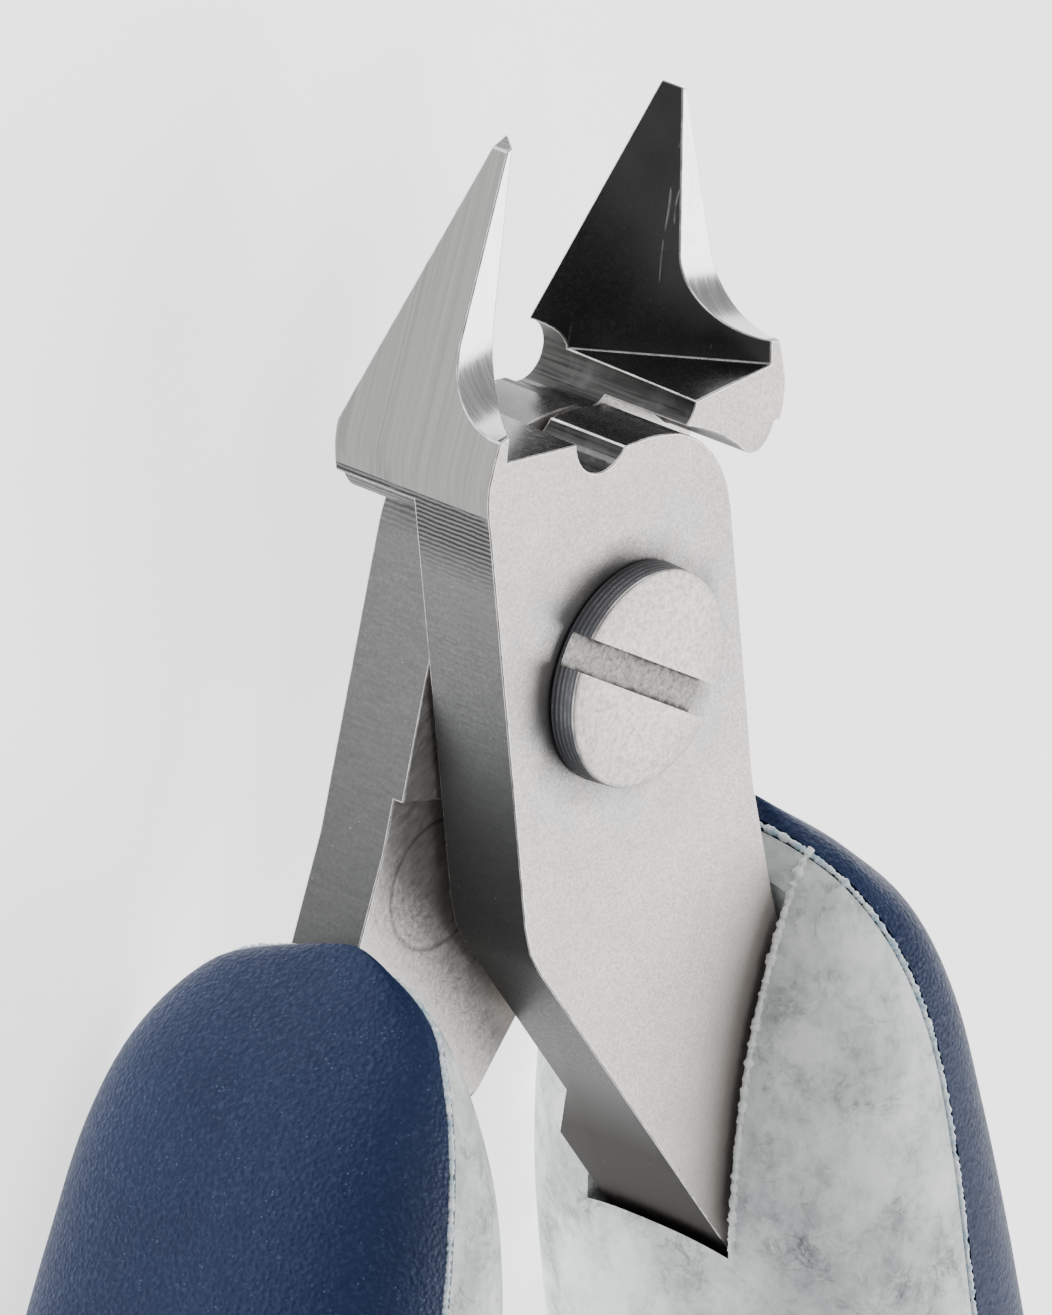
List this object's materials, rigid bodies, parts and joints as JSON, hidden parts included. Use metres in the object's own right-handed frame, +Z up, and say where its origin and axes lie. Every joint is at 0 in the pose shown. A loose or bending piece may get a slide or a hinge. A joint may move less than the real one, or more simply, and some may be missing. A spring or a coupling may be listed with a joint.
{
  "type": "flush cutter",
  "caption": "Precision flush cutter with a lap joint, tapered relieved jaws, a slotted pivot screw, a return spring and bowed two-part handles.",
  "frame": {"origin": "pivot axis at the rear face of the joint, on the screw's flat end", "axes": "+Y along the centre line towards the jaw tips, +X right seen from the screw head, +Z up through the screw head"},
  "size_m": [0.0752, 0.1377, 0.0146],
  "materials": {
    "forged_steel": "bead-blasted satin forging with ground walls and polished bevels",
    "screw_steel": "turned, with a dark ring at the head",
    "spring_steel": "drawn wire, bright",
    "grey_plastic": "hard light grey with cloudy darker veins",
    "blue_rubber": "soft navy blue with a fine leathery texture"
  },
  "bodies": {
    "front": {"front_half": "forged_steel", "right_handle_core": "grey_plastic", "right_handle_grip": "blue_rubber", "right_spring_pin": "spring_steel"},
    "rear": {"rear_half": "forged_steel", "pivot_screw": "screw_steel", "left_handle_core": "grey_plastic", "left_handle_grip": "blue_rubber", "left_spring_pin": "spring_steel"},
    "right_arm": {"right_spring_arm": "spring_steel"},
    "left_arm": {"left_spring_arm": "spring_steel"}
  },
  "joints": [
    {"name": "pivot", "type": "hinge", "parent": "front", "child": "rear", "pos_m": [0, 0, 0], "axis": [0, 0, 1], "range_deg": [0, 22.4], "stiffness_Nm_per_rad": 1, "springref_deg": -9.74},
    {"name": "right_arm_swing", "type": "hinge", "parent": "front", "child": "right_arm", "pos_m": [0.01746, -0.04751, 0.003], "axis": [0, 0, 1], "range_deg": [0, 44]},
    {"name": "left_arm_swing", "type": "hinge", "parent": "rear", "child": "left_arm", "pos_m": [-0.01746, -0.04751, 0.003], "axis": [0, 0, 1], "range_deg": [-44, 0]}
  ],
  "couplings": [
    {"joint": "right_arm_swing", "follows": "pivot", "ratio": 1.962},
    {"joint": "left_arm_swing", "follows": "pivot", "ratio": -1.962}
  ]
}
